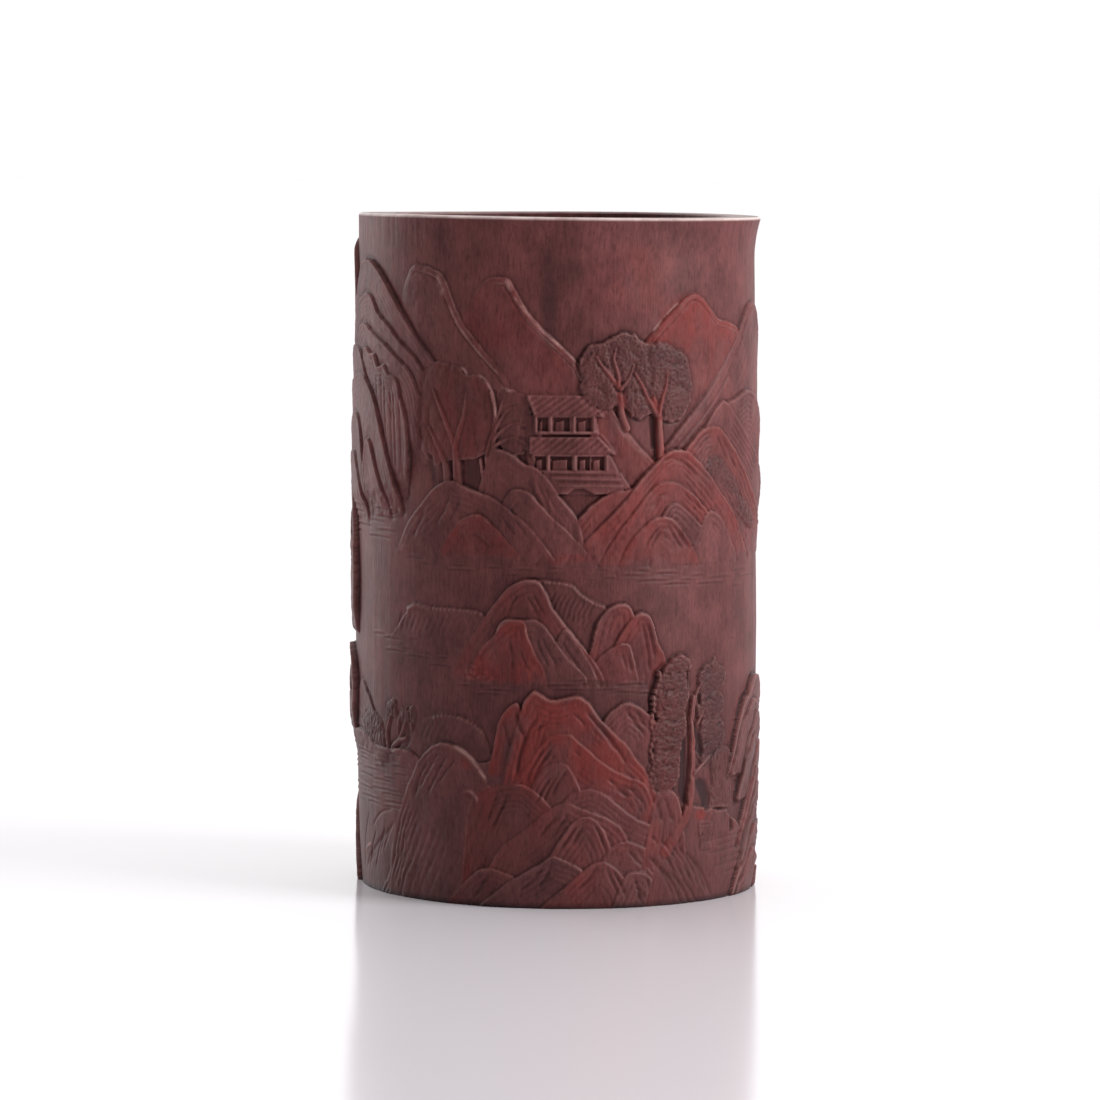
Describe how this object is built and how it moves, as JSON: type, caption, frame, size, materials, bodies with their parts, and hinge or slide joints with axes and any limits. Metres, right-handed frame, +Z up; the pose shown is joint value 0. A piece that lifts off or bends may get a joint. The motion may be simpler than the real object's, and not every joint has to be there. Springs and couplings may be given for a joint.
{
  "type": "brush holder pot",
  "caption": "Cylindrical bamboo brush pot, open at the top, carved in relief all round with mountains, trees, a pavilion and water, on a let-in base board.",
  "frame": {"origin": "bottom centre of the pot's bounding box, on the surface that the foot ring stands on", "axes": "+Z up to the lip; -Y is the front, where the pavilion is carved; +X is to the right of the pavilion"},
  "size_m": [0.0974, 0.0969, 0.158],
  "materials": {
    "carved_bamboo": "carved relief, rubbed satin, dark in the cuts, worn light on the high edges",
    "board_wood": "turned dark wood, dry satin",
    "pin_bamboo": "split bamboo, cut flush",
    "seal_lacquer": "dark lacquer putty, half gloss"
  },
  "bodies": {
    "root": {"carved_wall": "carved_bamboo", "base_board": "board_wood", "base_pins": "pin_bamboo", "lacquer_seal": "seal_lacquer"}
  },
  "joints": []
}
